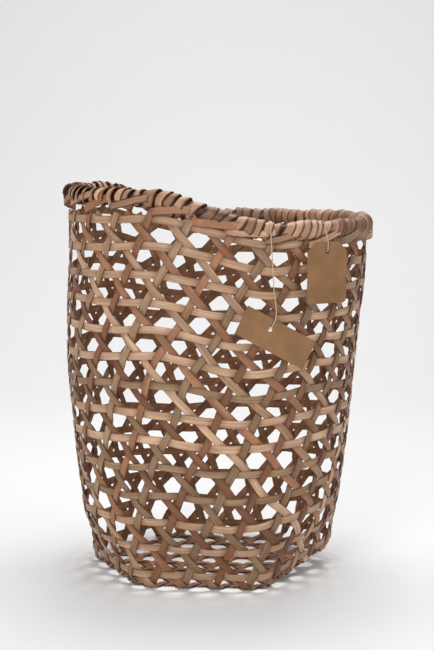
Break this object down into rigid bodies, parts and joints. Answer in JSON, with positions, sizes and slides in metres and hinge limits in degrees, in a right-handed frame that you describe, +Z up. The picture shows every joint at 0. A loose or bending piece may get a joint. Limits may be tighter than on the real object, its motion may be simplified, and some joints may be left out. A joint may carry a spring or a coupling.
{
  "type": "mushroom foraging basket",
  "caption": "Openwork plaited cane basket for gathering mushrooms, with a flat base, a lattice wall that widens to an open mouth, a wound rim and blank hanging labels.",
  "frame": {"origin": "on the floor, under the middle of the base and of the mouth", "axes": "+Z up; -Y points to the side that the labels hang on; the rim is highest towards -X and a little -Y, and the base is turned up towards +X"},
  "size_m": [0.3118, 0.3192, 0.3895],
  "materials": {
    "pale_cane": "bare split cane, fine lengthwise grain, aged",
    "ruddy_cane": "bare split cane, darker and smoother side out",
    "rim_cane": "bare split cane, reddish brown",
    "label_card": "plain brown card, matt",
    "label_string": "thin twisted thread"
  },
  "bodies": {
    "root": {"stake_a1": "pale_cane", "stake_a2": "ruddy_cane", "stake_a3": "pale_cane", "stake_a4": "ruddy_cane", "stake_a5": "pale_cane", "stake_a6": "ruddy_cane", "stake_a7": "pale_cane", "stake_a8": "ruddy_cane", "stake_b1": "pale_cane", "stake_b2": "ruddy_cane", "stake_b3": "pale_cane", "stake_b4": "ruddy_cane", "stake_b5": "pale_cane", "stake_b6": "ruddy_cane", "stake_b7": "pale_cane", "stake_b8": "ruddy_cane", "stake_c1": "pale_cane", "stake_c2": "ruddy_cane", "stake_c3": "pale_cane", "stake_c4": "ruddy_cane", "stake_c5": "pale_cane", "stake_c6": "ruddy_cane", "stake_c7": "pale_cane", "stake_c8": "ruddy_cane", "hoop_01": "pale_cane", "hoop_02": "pale_cane", "hoop_03": "pale_cane", "hoop_04": "pale_cane", "hoop_05": "pale_cane", "hoop_06": "pale_cane", "hoop_07": "pale_cane", "hoop_08": "pale_cane", "hoop_09": "pale_cane", "hoop_10": "pale_cane", "hoop_11": "pale_cane", "hoop_12": "pale_cane", "hoop_13": "pale_cane", "hoop_14": "pale_cane", "rim_bundle": "rim_cane", "rim_wrap": "rim_cane", "hanging_tag": "label_card", "hanging_card": "label_card", "tag_string": "label_string", "card_string": "label_string"}
  },
  "joints": []
}
